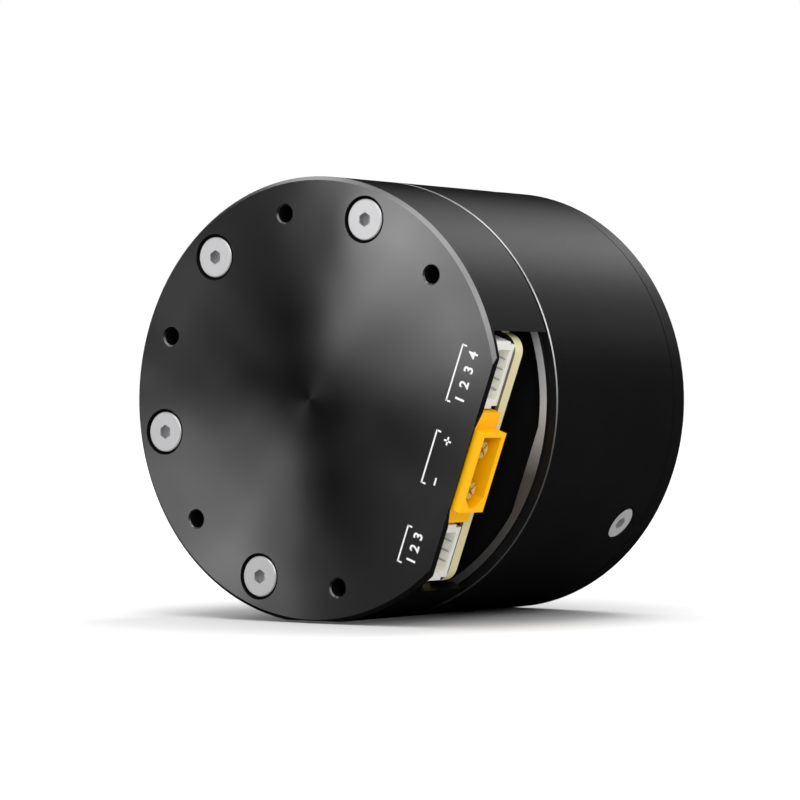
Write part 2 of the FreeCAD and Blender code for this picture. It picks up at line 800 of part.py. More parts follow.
def make_signal_connector(centre, count, setback):
    """A low side-entry housing, open towards +x, with a step along the foot of each side."""
    front = board_x - setback
    half = (count - 1) * signal_pitch / 2 + signal_side
    top = z_board_top + signal_h
    body = bar_along_x([
        (centre - half + signal_foot_w, z_board_top),
        (centre + half - signal_foot_w, z_board_top),
        (centre + half - signal_foot_w, z_board_top + signal_foot_h),
        (centre + half, z_board_top + signal_foot_h),
        (centre + half, top),
        (centre - half, top),
        (centre - half, z_board_top + signal_foot_h),
        (centre - half + signal_foot_w, z_board_top + signal_foot_h),
    ], front - signal_l, front)
    mouth_half = half - signal_foot_w - signal_wall
    mouth = block(front - signal_mouth_depth, front + 1, centre - mouth_half, centre + mouth_half,
                  z_board_top + signal_wall, z_board_top + signal_wall + signal_mouth_h)
    return body.cut(mouth)


def make_signal_contacts(centre, count, setback):
    back = board_x - setback - signal_mouth_depth
    z = z_board_top + signal_wall + signal_mouth_h / 2
    contacts = []
    for i in range(count):
        y = centre + (i - (count - 1) / 2) * signal_pitch
        contacts.append(block(back, back + contact_l, y - contact_w / 2, y + contact_w / 2,
                              z - contact_w, z + contact_w))
    return Part.makeCompound(contacts)


def chip(width, length, thick, z0, radius, degrees):
    piece = block(radius - length / 2, radius + length / 2, -width / 2, width / 2, z0, z0 + thick)
    return spun(piece, degrees)


def make_transistors():
    chips = [chip(transistor_w, transistor_w, transistor_t, z_board_top, transistor_circle_r, a)
             for a in transistor_degs]
    return Part.makeCompound(chips)


def make_capacitors():
    chips = [chip(capacitor_w, capacitor_l, capacitor_t, z_board_top, capacitor_circle_r, a)
             for a in capacitor_degs]
    return Part.makeCompound(chips)


# ---------------------------------------------------------------- sizes shared by several pieces
lead_degs = (150.0, 180.0, 210.0)
serial_half = (serial_count - 1) * signal_pitch / 2 + signal_side
bus_half = (bus_count - 1) * signal_pitch / 2 + signal_side
serial_centre = power_centre - power_body_w / 2 - serial_gap - serial_half
bus_centre = power_centre + power_body_w / 2 + bus_gap + bus_half
notch_half = bus_centre + bus_half + notch_side_gap
bearing_inner_land_r = (shaft_r + bearing_r) / 2 - 0.45 * bearing_ball_r
z_encoder_magnet = z_board - encoder_chip_t - encoder_gap - encoder_magnet_t
z_power = z_board_top + power_shroud_rise
power_back_x = board_x + power_body_reach - power_body_l
power_relief = 0.2

# ---------------------------------------------------------------- build
os.makedirs("parts", exist_ok=True)

export("rear_cover", make_rear_cover())
export("cover_screws", make_cover_screws())
export("circuit_board", make_circuit_board())
export("board_standoffs", make_standoffs())
export("power_connector", make_power_connector())
export("power_pins", make_power_pins())
export("serial_connector", make_signal_connector(serial_centre, serial_count, serial_setback))
export("serial_contacts", make_signal_contacts(serial_centre, serial_count, serial_setback))
export("bus_connector", make_signal_connector(bus_centre, bus_count, bus_setback))
export("bus_contacts", make_signal_contacts(bus_centre, bus_count, bus_setback))
export("controller_chip", chip(controller_w, controller_w, controller_t, z_board_top, 0, 0))
export("encoder_chip", chip(encoder_chip_w, encoder_chip_w, encoder_chip_t, z_board - encoder_chip_t, 0, 0))
export("power_transistors", make_transistors())
export("capacitors", make_capacitors())
export("edge_resistor", moved(
    chip(edge_chip_w, edge_chip_l, edge_chip_t, z_board - edge_chip_t, board_x - edge_chip_l, 0),
    0, edge_chip_centre, 0))
export("phase_leads", make_phase_leads())

export("motor_housing", make_motor_housing())
export("side_screws", make_side_screws())
export("stator_core", make_stator_core())
export("stator_windings", make_windings())
export("rotor_bell", make_rotor_bell())
export("rotor_magnets", make_rotor_magnets())
export("rotor_shaft", make_rotor_shaft())
export("bearing_spacer", make_bearing_spacer())
export("magnet_holder", make_magnet_holder())
export("encoder_magnet", rod(encoder_magnet_r, z_encoder_magnet, z_encoder_magnet + encoder_magnet_t))
for name, z in (("front_bearing", z_front_bearing), ("rear_bearing", z_rear_bearing)):
    inner, outer, balls = ball_bearing(shaft_r, bearing_r, bearing_ball_r, bearing_ball_count, z, bearing_w)
    export(name + "_inner_ring", inner)
    export(name + "_outer_ring", outer)
    export(name + "_balls", balls)

export("sun_gear", make_sun_gear())
for i in range(planet_count):
    gear, bush = make_planet(i)
    export("planet_gear_" + str(i + 1), gear)
    export("planet_bush_" + str(i + 1), bush)
export("planet_pins", make_planet_pins())
export("ring_gear", inner_gear(ring_teeth, ring_gear_r, z_ring_gear, z_carrier_end))
export("carrier_plate", make_carrier_plate())
export("carrier_screws", make_carrier_screws())

inner, outer, balls = ball_bearing(
    output_bearing_bore_r, output_bearing_r, output_ball_r, output_ball_count, z_bearing, output_bearing_w)
export("output_bearing_inner_ring", inner)
export("output_bearing_outer_ring", outer)
export("output_bearing_balls", balls)
export("bearing_retainer", tube(ring_gear_r, output_bearing_r - retainer_lap, z_retainer, z_ring_gear))
export("output_flange", make_output_flange())
export("output_cover", make_output_cover())
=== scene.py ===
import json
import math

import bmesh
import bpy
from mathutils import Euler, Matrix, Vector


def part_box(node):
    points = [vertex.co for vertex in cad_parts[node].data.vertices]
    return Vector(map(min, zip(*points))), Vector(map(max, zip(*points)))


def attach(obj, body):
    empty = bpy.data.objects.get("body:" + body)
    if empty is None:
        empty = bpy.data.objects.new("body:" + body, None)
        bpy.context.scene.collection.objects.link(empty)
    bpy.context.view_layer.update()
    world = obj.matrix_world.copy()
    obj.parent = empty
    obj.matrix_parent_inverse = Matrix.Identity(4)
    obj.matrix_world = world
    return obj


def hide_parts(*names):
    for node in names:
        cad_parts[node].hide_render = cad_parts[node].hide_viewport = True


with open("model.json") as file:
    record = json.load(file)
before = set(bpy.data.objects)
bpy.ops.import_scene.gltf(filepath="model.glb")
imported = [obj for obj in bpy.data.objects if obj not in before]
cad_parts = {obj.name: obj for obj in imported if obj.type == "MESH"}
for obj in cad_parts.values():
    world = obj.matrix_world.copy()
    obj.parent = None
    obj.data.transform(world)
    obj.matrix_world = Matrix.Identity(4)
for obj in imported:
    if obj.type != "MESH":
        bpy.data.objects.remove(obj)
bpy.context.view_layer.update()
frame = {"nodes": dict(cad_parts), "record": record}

# %% [markdown]
# # A joint actuator for a robot arm
#
# The object is a short round motor with its electronics behind it and a gear stage in front.
# The exact solids are already loaded as a fixed frame. This lesson gives them their finishes,
# swaps a few for finer versions, and lights them as a product is lit.
#
# The drive axis lies along Y. The rear cover faces -Y, and the connector side is rolled
# 20 degrees below +X. Most positions are easier to say in the motor's own terms, so one
# helper turns "towards the connectors, across, up from the output face" into X, Y and Z.

nodes = frame["nodes"]
MM = 0.001
ROLL = math.radians(20)

# Sizes in millimetres, and depths measured from the output face
BODY_R = 26.5
REAR = 43.0
SCREW_CIRCLE_R = 22.5
REAR_SCREW_ANGLES = (90, 150, 210, 270)


def on_motor(outward, across, depth):
    """A point in millimetres in the motor's own terms, as a vector in metres."""
    x = outward * math.cos(ROLL) + across * math.sin(ROLL)
    z = across * math.cos(ROLL) - outward * math.sin(ROLL)
    return Vector((x, -depth, z)) * MM


def motor_matrix():
    """The same turn as a matrix, for shapes that are drawn standing on the output face."""
    across = on_motor(0, 1000, 0)
    outward = on_motor(1000, 0, 0)
    upward = on_motor(0, 0, 1000)
    turn = Matrix((outward, across, upward)).transposed()
    return turn.to_4x4()


def in_motor_terms(point):
    """The other way round: metres in the frame to outward, across and depth in millimetres."""
    return motor_matrix().inverted() @ point / MM


def span(node):
    """How far a solid reaches outward, across and in depth."""
    places = [in_motor_terms(vertex.co) for vertex in nodes[node].data.vertices]
    return [(min(p[i] for p in places), max(p[i] for p in places)) for i in range(3)]


def from_axis(point):
    """Distance of a point from the drive axis, in millimetres."""
    return math.hypot(point.x, point.z) / MM


def put_in_scene(name, data):
    """A new object that holds the data, linked to the scene."""
    obj = bpy.data.objects.new(name, data)
    bpy.context.scene.collection.objects.link(obj)
    return obj


def evaluated_mesh(obj):
    """The object's mesh with its modifiers worked out."""
    graph = bpy.context.evaluated_depsgraph_get()
    return bpy.data.meshes.new_from_object(obj.evaluated_get(graph))


# %% [markdown]
# ## Surface effects used by more than one finish
#
# Real finishes differ less in colour than in how their surface varies. Three effects do most
# of the work here: a fine **grain** (anodising, moulded plastic), the concentric **turning
# marks** that a lathe leaves, and slow **patches** where a surface was handled or cooled
# unevenly. Each is a node group, built once, so that every material can set its own scale and
# strength. The groups put out numbers only, and the shader stays in the material.

# %% A helper for building node groups


def new_group(name, inputs, outputs):
    """An empty shader group with named sockets; returns it with its two end nodes."""
    group = bpy.data.node_groups.new(name, "ShaderNodeTree")
    for socket, kind, value in inputs:
        made = group.interface.new_socket(socket, in_out="INPUT", socket_type=kind)
        if value is not None:
            made.default_value = value
    for socket, kind in outputs:
        group.interface.new_socket(socket, in_out="OUTPUT", socket_type=kind)
    start = group.nodes.new("NodeGroupInput")
    end = group.nodes.new("NodeGroupOutput")
    return group, start, end


def math_node(tree, operation, first, second=None, third=None):
    """One Math node, fed by links or numbers."""
    node = tree.nodes.new("ShaderNodeMath")
    node.operation = operation
    for place, value in enumerate((first, second, third)):
        if value is None:
            continue
        if isinstance(value, (int, float)):
            node.inputs[place].default_value = value
        else:
            tree.links.new(value, node.inputs[place])
    return node.outputs[0]


def noise_node(tree, vector, scale, detail):
    """One Noise node; its scale may be a link or a number."""
    node = tree.nodes.new("ShaderNodeTexNoise")
    node.inputs["Detail"].default_value = detail
    tree.links.new(vector, node.inputs["Vector"])
    if isinstance(scale, (int, float)):
        node.inputs["Scale"].default_value = scale
    else:
        tree.links.new(scale, node.inputs["Scale"])
    return node.outputs["Fac"]


def ramp_node(tree, value, from_min, from_max, to_min, to_max, smooth=False):
    """One Map Range node, straight or smoothed at both ends."""
    node = tree.nodes.new("ShaderNodeMapRange")
    if smooth:
        node.interpolation_type = "SMOOTHSTEP"
    ends = {"From Min": from_min, "From Max": from_max, "To Min": to_min, "To Max": to_max}
    for socket, end in ends.items():
        node.inputs[socket].default_value = end
    tree.links.new(value, node.inputs["Value"])
    return node.outputs["Result"]


def mix_node(tree, factor, first, second, blend="MIX"):
    """One Mix node for two colours, each a link or a colour."""
    node = tree.nodes.new("ShaderNodeMix")
    node.data_type = "RGBA"
    node.blend_type = blend
    for socket, value in ((node.inputs["Factor"], factor), (node.inputs[6], first), (node.inputs[7], second)):
        if hasattr(value, "is_output"):
            tree.links.new(value, socket)
        else:
            socket.default_value = value
    return node.outputs[2]


# %% Fine grain
FLOAT = "NodeSocketFloat"
VECTOR = "NodeSocketVector"
COLOR = "NodeSocketColor"
grain, start, end = new_group(
    "fine_grain",
    [("Position", VECTOR, None), ("Scale", FLOAT, 4000.0), ("Roughness", FLOAT, 0.4),
     ("Spread", FLOAT, 0.05)],
    [("Roughness", FLOAT), ("Height", FLOAT)],
)
fine = noise_node(grain, start.outputs["Position"], start.outputs["Scale"], 4.0)
swing = math_node(grain, "MULTIPLY", math_node(grain, "SUBTRACT", fine, 0.5), start.outputs["Spread"])
grain.links.new(math_node(grain, "ADD", start.outputs["Roughness"], swing), end.inputs["Roughness"])
grain.links.new(fine, end.inputs["Height"])
print("group", grain.name)

# %% Slow patches of colour
patches, start, end = new_group(
    "patches",
    [("Position", VECTOR, None), ("Scale", FLOAT, 120.0), ("Low", COLOR, (0.1, 0.1, 0.1, 1)),
     ("High", COLOR, (0.2, 0.2, 0.2, 1))],
    [("Color", COLOR)],
)
slow = noise_node(patches, start.outputs["Position"], start.outputs["Scale"], 2.0)
sharper = math_node(patches, "SMOOTH_MIN", math_node(patches, "MULTIPLY_ADD", slow, 2.2, -0.6), 1.0, 0.1)
mask = math_node(patches, "MAXIMUM", sharper, 0.0)
colour = mix_node(patches, mask, start.outputs["Low"], start.outputs["High"])
patches.links.new(colour, end.inputs["Color"])
print("group", patches.name)

# %% Turning marks, as rings round the drive axis
turning, start, end = new_group(
    "turning_marks",
    [("Position", VECTOR, None), ("Pitch", FLOAT, 0.0002), ("Uneven", FLOAT, 0.6)],
    [("Height", FLOAT), ("Radius", FLOAT)],
)
parts = turning.nodes.new("ShaderNodeSeparateXYZ")
turning.links.new(start.outputs["Position"], parts.inputs[0])
squares = math_node(turning, "MULTIPLY", parts.outputs["X"], parts.outputs["X"])
squares = math_node(turning, "MULTIPLY_ADD", parts.outputs["Z"], parts.outputs["Z"], squares)
radius = math_node(turning, "SQRT", squares)
count = math_node(turning, "DIVIDE", radius, start.outputs["Pitch"])
ring = math_node(turning, "SINE", math_node(turning, "MULTIPLY", count, 2 * math.pi))
loose = turning.nodes.new("ShaderNodeTexNoise")
loose.noise_dimensions = "1D"
loose.inputs["Scale"].default_value = 0.35
loose.inputs["Detail"].default_value = 4.0
turning.links.new(count, loose.inputs["W"])
height = math_node(turning, "MULTIPLY_ADD", loose.outputs["Fac"], start.outputs["Uneven"],
                   math_node(turning, "MULTIPLY", ring, 0.2))
turning.links.new(height, end.inputs["Height"])
turning.links.new(radius, end.inputs["Radius"])
print("group", turning.name)

# %% [markdown]
# ## Writing a finish
#
# Every finish starts from the same few nodes: object coordinates, a patch of two close
# colours, and a grain that moves the roughness and gives a slight bump. A helper lays them
# out. What is the same all over a surface, such as anisotropy, goes straight on the
# shader's own socket.

# %% The base of every finish


def put_group(tree, group, position, **values):
    """A node group in a material, fed with the position and plain values."""
    node = tree.nodes.new("ShaderNodeGroup")
    node.node_tree = group
    tree.links.new(position, node.inputs["Position"])
    for name, value in values.items():
        node.inputs[name].default_value = value
    return node


def finish_named(name, low, high, metallic, roughness, patch=120.0, grain_scale=4000.0,
                 spread=0.06, bump=0.05, **constants):
    """A material with two close colours, grain in its gloss and a slight bump."""
    material = bpy.data.materials.new(name)
    material.use_nodes = True
    tree = material.node_tree
    shader = tree.nodes["Principled BSDF"]
    position = tree.nodes.new("ShaderNodeTexCoord").outputs["Object"]
    colour = put_group(tree, patches, position, Scale=patch, Low=(*low, 1), High=(*high, 1))
    surface = put_group(tree, grain, position, Scale=grain_scale, Roughness=roughness, Spread=spread)
    tree.links.new(colour.outputs["Color"], shader.inputs["Base Color"])
    tree.links.new(surface.outputs["Roughness"], shader.inputs["Roughness"])
    shader.inputs["Metallic"].default_value = metallic
    raised = tree.nodes.new("ShaderNodeBump")
    raised.inputs["Strength"].default_value = bump
    raised.inputs["Distance"].default_value = 0.00002
    tree.links.new(surface.outputs["Height"], raised.inputs["Height"])
    tree.links.new(raised.outputs[0], shader.inputs["Normal"])
    for socket, value in constants.items():
        shader.inputs[socket.replace("_", " ")].default_value = value
    return material


def parts_of(material):
    """The shader, the bump node and the object coordinates of a finish."""
    tree = material.node_tree
    bump = next(n for n in tree.nodes if n.type == "BUMP")
    coords = next(n for n in tree.nodes if n.type == "TEX_COORD")
    return tree, tree.nodes["Principled BSDF"], bump, coords.outputs["Object"]


# %% [markdown]
# ## Black anodised aluminium
#
# The housing is turned from bar and anodised black. Its round side is satin and nearly
# black. The rear cover's flat face was faced on a lathe, so it holds rings too fine to see
# one by one, and they stretch each highlight into a fan that points away from the centre.
# Anisotropy with a tangent that runs round the axis gives that fan. The rings themselves
# are only a faint bump.

# %% The housing's round side
side_black = finish_named(
    "anodised_side", (0.0058, 0.0058, 0.0060), (0.0070, 0.0070, 0.0074), 0.0, 0.24,
    grain_scale=9000.0, spread=0.08, bump=0.06, Specular_IOR_Level=0.22)
print("material", side_black.name)

# %% What a lathe leaves on a flat face
RING_PITCH = 0.00022
CENTRE_SHADE_FROM, CENTRE_SHADE_TO = 0.004, 0.022
ROUGH_CENTRE_R = 0.011
ROUGH_CENTRE = 0.34


def add_turning(material, centre_painted_shade, waviness):
    """Rings and a slow waviness as bumps, a rougher centre darkened by painted shade, and a grain that runs
    round the axis.
    """
    tree, shader, bump, position = parts_of(material)
    rings = put_group(tree, turning, position, Pitch=RING_PITCH, Uneven=0.8)
    waves = tree.nodes.new("ShaderNodeBump")
    waves.inputs["Strength"].default_value = waviness
    waves.inputs["Distance"].default_value = 0.0006
    tree.links.new(noise_node(tree, position, 75.0, 1.0), waves.inputs["Height"])
    tree.links.new(bump.outputs[0], waves.inputs["Normal"])
    ring_bump = tree.nodes.new("ShaderNodeBump")
    ring_bump.inputs["Strength"].default_value = 0.10
    ring_bump.inputs["Distance"].default_value = 0.00001
    tree.links.new(rings.outputs["Height"], ring_bump.inputs["Height"])
    tree.links.new(waves.outputs[0], ring_bump.inputs["Normal"])
    tree.links.new(ring_bump.outputs[0], shader.inputs["Normal"])
    # Painted shade: the base colour darkens towards the axis, which dims the reflections near the centre.
    shade = ramp_node(tree, rings.outputs["Radius"], CENTRE_SHADE_FROM, CENTRE_SHADE_TO, centre_painted_shade, 1.0)
    colour = shader.inputs["Base Color"].links[0].from_socket
    tree.links.new(mix_node(tree, 1.0, colour, shade, "MULTIPLY"), shader.inputs["Base Color"])
    extra = ramp_node(tree, rings.outputs["Radius"], 0.0, ROUGH_CENTRE_R, ROUGH_CENTRE, 0.0, smooth=True)
    gloss = shader.inputs["Roughness"].links[0].from_socket
    tree.links.new(math_node(tree, "ADD", gloss, extra), shader.inputs["Roughness"])
    tangent = tree.nodes.new("ShaderNodeTangent")
    tangent.direction_type = "RADIAL"
    tangent.axis = "Y"
    tree.links.new(tangent.outputs[0], shader.inputs["Tangent"])


# %% The turned face of the rear cover
faced = finish_named(
    "anodised_faced", (0.150, 0.147, 0.148), (0.162, 0.159, 0.160), 1.0, 0.38,
    grain_scale=7000.0, spread=0.10, bump=0.04, Anisotropic=0.80, Anisotropic_Rotation=0.25)
add_turning(faced, 0.22, 0.5)
print("material", faced.name)

# %% The turned face of the output flange, left bare
flange_face = finish_named(
    "turned_aluminium", (0.50, 0.51, 0.52), (0.58, 0.59, 0.60), 0.72, 0.36,
    grain_scale=7000.0, spread=0.10, bump=0.04, Anisotropic=0.70, Anisotropic_Rotation=0.25)
add_turning(flange_face, 0.9, 0.15)
print("material", flange_face.name)

# %% [markdown]
# ## The metals inside and outside
#
# Each metal has its own colour, gloss and scale of grain: the screws are bright stainless
# steel, the bearing rings are ground, the windings are enamelled copper, and the magnets
# are nickel plated. A blasted or tumbled surface scatters more than it mirrors, so four of
# them are less than fully metallic.

# %% Metals
METALS = {
    "bare_aluminium": ((0.60, 0.61, 0.62), (0.68, 0.69, 0.70), 0.30, 5000.0),
    "stainless_screw": ((0.64, 0.64, 0.65), (0.70, 0.70, 0.71), 0.34, 6000.0),
    "bearing_steel": ((0.50, 0.51, 0.52), (0.60, 0.61, 0.62), 0.16, 7000.0),
    "bearing_ball": ((0.72, 0.72, 0.74), (0.80, 0.80, 0.82), 0.06, 9000.0),
    "gear_steel": ((0.30, 0.30, 0.31), (0.42, 0.42, 0.43), 0.34, 5000.0),
    "shaft_steel": ((0.46, 0.46, 0.48), (0.54, 0.54, 0.56), 0.22, 6000.0),
    "bronze_bush": ((0.48, 0.27, 0.11), (0.60, 0.36, 0.16), 0.35, 5000.0),
    "gold_pin": ((0.68, 0.48, 0.14), (0.74, 0.55, 0.20), 0.22, 7000.0),
    "copper_winding": ((0.52, 0.17, 0.06), (0.66, 0.26, 0.10), 0.28, 3000.0),
    "tin_contact": ((0.50, 0.49, 0.47), (0.62, 0.61, 0.58), 0.32, 8000.0),
    "lamination_steel": ((0.22, 0.23, 0.26), (0.30, 0.31, 0.34), 0.42, 4000.0),
    "magnet_nickel": ((0.50, 0.49, 0.46), (0.60, 0.59, 0.55), 0.20, 6000.0),
    "bell_steel": ((0.30, 0.31, 0.33), (0.38, 0.39, 0.41), 0.32, 4000.0),
}
finishes = {name: finish_named(name, low, high, 1.0, roughness, grain_scale=scale)
            for name, (low, high, roughness, scale) in METALS.items()}
SCATTERING = {"bare_aluminium": 0.75, "stainless_screw": 0.45, "gold_pin": 0.35, "tin_contact": 0.5}
for name, metallic in SCATTERING.items():
    parts_of(finishes[name])[1].inputs["Metallic"].default_value = metallic
print("metals:", len(finishes))

# %% Laminations and turns of wire are stripes along the axis


def add_stripes(material, pitch, distance):
    """Fine stripes across the drive axis, as a bump on top of the grain."""
    tree, shader, bump, position = parts_of(material)
    split = tree.nodes.new("ShaderNodeSeparateXYZ")
    tree.links.new(position, split.inputs[0])
    phase = math_node(tree, "MULTIPLY", split.outputs["Y"], 2 * math.pi / pitch)
    wave = math_node(tree, "SINE", phase)
    stripes = tree.nodes.new("ShaderNodeBump")
    stripes.inputs["Strength"].default_value = 0.5
    stripes.inputs["Distance"].default_value = distance
    tree.links.new(wave, stripes.inputs["Height"])
    tree.links.new(bump.outputs[0], stripes.inputs["Normal"])
    tree.links.new(stripes.outputs[0], shader.inputs["Normal"])


add_stripes(finishes["lamination_steel"], 0.00035, 0.00002)
add_stripes(finishes["copper_winding"], 0.0004, 0.00008)

# %% Plastics, glass fibre and ceramic
OTHERS = {
    "amber_nylon": ((0.94, 0.46, 0.000), (0.98, 0.50, 0.001), 0.42, 3000.0),
    "white_nylon": ((0.74, 0.73, 0.69), (0.82, 0.81, 0.77), 0.38, 3000.0),
    "chip_black": ((0.012, 0.012, 0.013), (0.022, 0.022, 0.023), 0.50, 6000.0),
    "ceramic": ((0.30, 0.19, 0.11), (0.38, 0.26, 0.16), 0.40, 5000.0),
    "lead_sleeve": ((0.30, 0.02, 0.015), (0.40, 0.04, 0.03), 0.45, 3000.0),
    "resistor_grey": ((0.085, 0.085, 0.095), (0.115, 0.115, 0.125), 0.45, 6000.0),
    "blade_grey": ((0.40, 0.40, 0.39), (0.46, 0.46, 0.45), 0.40, 8000.0),
    "cream_insert": ((0.92, 0.91, 0.82), (0.96, 0.95, 0.87), 0.50, 3000.0),
}
for name, (low, high, roughness, scale) in OTHERS.items():
    finishes[name] = finish_named(name, low, high, 0.0, roughness, grain_scale=scale)
finishes["dark_anodised"] = side_black
parts_of(finishes["amber_nylon"])[1].inputs["Specular IOR Level"].default_value = 0.15
print("finishes:", len(finishes))

# %% [markdown]
# ## The driver board
#
# A circuit board is pale glass fibre with a black coat on its two faces only, so the cut
# edge shows as a light line. The direction of the surface tells the two apart: where it
# points along the drive axis it is a face, and elsewhere it is an edge. A strip of solder
# pads, left bare, runs along the edge in front of the connectors.

# %% Board: black coat on the faces, bare laminate at the edge
PAD_STRIP = 0.45
MASK_BLACK = (0.008, 0.009, 0.009, 1)
PAD_GREY = (0.15, 0.135, 0.105, 1)
board_finish = finish_named(
    "board_laminate", (0.61, 0.55, 0.31), (0.71, 0.64, 0.38), 0.0, 0.55, Specular_IOR_Level=0.2)
tree, shader, bump, position = parts_of(board_finish)
facing = tree.nodes.new("ShaderNodeNewGeometry")
split = tree.nodes.new("ShaderNodeSeparateXYZ")
tree.links.new(facing.outputs["Normal"], split.inputs[0])
is_face = math_node(tree, "GREATER_THAN", math_node(tree, "ABSOLUTE", split.outputs["Y"]), 0.7)
along = tree.nodes.new("ShaderNodeVectorMath")
along.operation = "DOT_PRODUCT"
along.inputs[1].default_value = on_motor(1, 0, 0).normalized()
tree.links.new(position, along.inputs[0])
pads_start = (span("circuit_board")[0][1] - PAD_STRIP) * MM
at_edge = math_node(tree, "GREATER_THAN", along.outputs["Value"], pads_start)
coat = mix_node(tree, at_edge, MASK_BLACK, PAD_GREY)
edge_colour = shader.inputs["Base Color"].links[0].from_socket
tree.links.new(mix_node(tree, is_face, edge_colour, coat), shader.inputs["Base Color"])
finishes["board_laminate"] = board_finish
print("material", board_finish.name)

# %% [markdown]
# ## Giving each solid its finish
#
# The record names a finish for each solid. A solid whose shape is right keeps its mesh and
# only gets the material.

# %% Assign by slot
slot_of = {entry["node"]: entry["material_slot"] for entry in frame["record"]["subparts"]}


def dress(obj, *materials):
    """Gives an object these materials; its faces start on the first."""
    obj.data.materials.clear()
    for material in materials:
        obj.data.materials.append(material)


for name, obj in nodes.items():
    material = finishes[slot_of[name]]
    if not obj.material_slots:
        obj.data.materials.append(material)
    for slot in obj.material_slots:
        slot.material = material
print("dressed", len(nodes), "solids")

# %% [markdown]
# ## The rear cover
#
# The print on the rear face has a thickness, if a tiny one. Nothing may stand past the
# object's real length, so the cover is copied with its face two hundredths of a
# millimetre lower, and the print fills that step. The copy has four finishes: the turned
# face, the broken edge round it in a lighter grey as a painted highlight, the screw seats
# in near black as painted shade, and satin black for all the rest.

# %% A clean copy of a solid


def clean_copy(node, name):
    """A copy of a solid's mesh with its doubled corners merged."""
    mesh = nodes[node].data.copy()
    shape = bmesh.new()
    shape.from_mesh(mesh)
    bmesh.ops.remove_doubles(shape, verts=shape.verts, dist=2e-6)
    shape.to_mesh(mesh)
    shape.free()
    return put_in_scene(name, mesh)


def smooth_by_angle(obj, degrees):
    """Round faces shade smoothly, edges past the angle stay crisp, and large faces lead."""
    mesh = obj.data
    for layer in list(mesh.attributes):
        if layer.name in ("sharp_face", "custom_normal"):
            mesh.attributes.remove(layer)
    mesh.shade_smooth()
    mesh.set_sharp_from_angle(angle=math.radians(degrees))
    large_first = obj.modifiers.new("normals", "WEIGHTED_NORMAL")
    large_first.keep_sharp = True
    weighted = evaluated_mesh(obj)
    obj.modifiers.clear()
    obj.data = weighted


def round_edges(obj, width, segments, degrees):
    """Joins flat triangles into whole faces, then rounds every edge sharper than the angle."""
    shape = bmesh.new()
    shape.from_mesh(obj.data)
    bmesh.ops.dissolve_limit(shape, angle_limit=math.radians(1), verts=shape.verts, edges=shape.edges)
    shape.to_mesh(obj.data)
    shape.free()
    bevel = obj.modifiers.new("round", "BEVEL")
    bevel.width = width * MM
    bevel.segments = segments
    bevel.limit_method = "ANGLE"
    bevel.angle_limit = math.radians(degrees)
    rounded = evaluated_mesh(obj)
    obj.modifiers.clear()
    obj.data = rounded


def finished(obj, body, slot_name, *replaced):
    """Hands a made piece to the frame."""
    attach(obj, body)
    if replaced:
        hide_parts(*replaced)
    print(obj.name, len(obj.data.polygons), "faces")


# %% The cover itself
PRINT_T = 0.02
SKIRT_END = 30.75
SKIRT_BACK = 0.12
SEAT_R = 2.9
cover = clean_copy("rear_cover", "turned_rear_cover")
low_face = -(REAR - PRINT_T) * MM
for vertex in cover.data.vertices:
    vertex.co.y = max(vertex.co.y, low_face)
    if abs(-vertex.co.y / MM - SKIRT_END) < 0.02 and from_axis(vertex.co) > 24.8:
        vertex.co.y -= SKIRT_BACK * MM
smooth_by_angle(cover, 30)
rim_highlight_grey = finish_named(
    "rim_highlight_grey", (0.20, 0.20, 0.20), (0.24, 0.24, 0.24), 1.0, 0.40, grain_scale=8000.0)
seat_shade_black = finish_named(
    "countersink_shade", (0.0015, 0.0015, 0.0015), (0.002, 0.002, 0.002), 0.0, 0.6,
    grain_scale=9000.0, Specular_IOR_Level=0.03)
dress(cover, side_black, faced, rim_highlight_grey, seat_shade_black)
seats = [(SCREW_CIRCLE_R * math.cos(math.radians(a)), SCREW_CIRCLE_R * math.sin(math.radians(a)))
         for a in REAR_SCREW_ANGLES]


def in_countersink(point):
    """True inside one of the four seats of the rear screws."""
    place = in_motor_terms(point)
    below_face = place.z < REAR - PRINT_T - 0.01
    return below_face and any(math.dist(place[:2], seat) < SEAT_R for seat in seats)


# Painted shade: the screw seats get a near-black finish where shade falls round the heads.
for polygon in cover.data.polygons:
    middle, tilt = polygon.center, polygon.normal.y
    if in_countersink(middle):
        polygon.material_index = 3
    elif tilt < -0.6 and middle.y < -(REAR - 0.6) * MM:
        # Painted highlight: the rim's chamfer takes a lighter grey than the face.
        at_rim = tilt > -0.9 and from_axis(middle) > 25.5
        polygon.material_index = 2 if at_rim else 1
finished(cover, "housing", "dark_anodised", "rear_cover")

# %% [markdown]
# ## The motor housing
#
# Two things on it catch the light beside the connectors. One is the narrow land of the ring
# that centres the cover, which is machined after anodising, and so is bare; its colour is
# darkened further down as painted shade. The other is the broken edge at the seam, which
# gets a light metal colour as a painted highlight. It is drawn narrower than the solid's
# chamfer and a little further from the cover, so that it reads as a bright line beside a dark gap. A Bevel
# modifier turns each sharp edge into a thin round, as tumbling does.

# %% The land's finish: bare, with painted shade below
SHADED_Z, LIT_Z = -0.009, -0.001
LAND_SHADE = (0.02, 0.018, 0.016, 1)
bare_land = finish_named(
    "machined_land", (0.60, 0.60, 0.61), (0.68, 0.68, 0.69), 0.3, 0.45, grain_scale=6000.0)
tree, shader, bump, position = parts_of(bare_land)
split = tree.nodes.new("ShaderNodeSeparateXYZ")
tree.links.new(position, split.inputs[0])
# Painted shade: the land's colour darkens towards its bottom.
lit_share = ramp_node(tree, split.outputs["Z"], SHADED_Z, LIT_Z, 0.10, 0.9)
colour = shader.inputs["Base Color"].links[0].from_socket
tree.links.new(mix_node(tree, lit_share, LAND_SHADE, colour), shader.inputs["Base Color"])
print("material", bare_land.name)

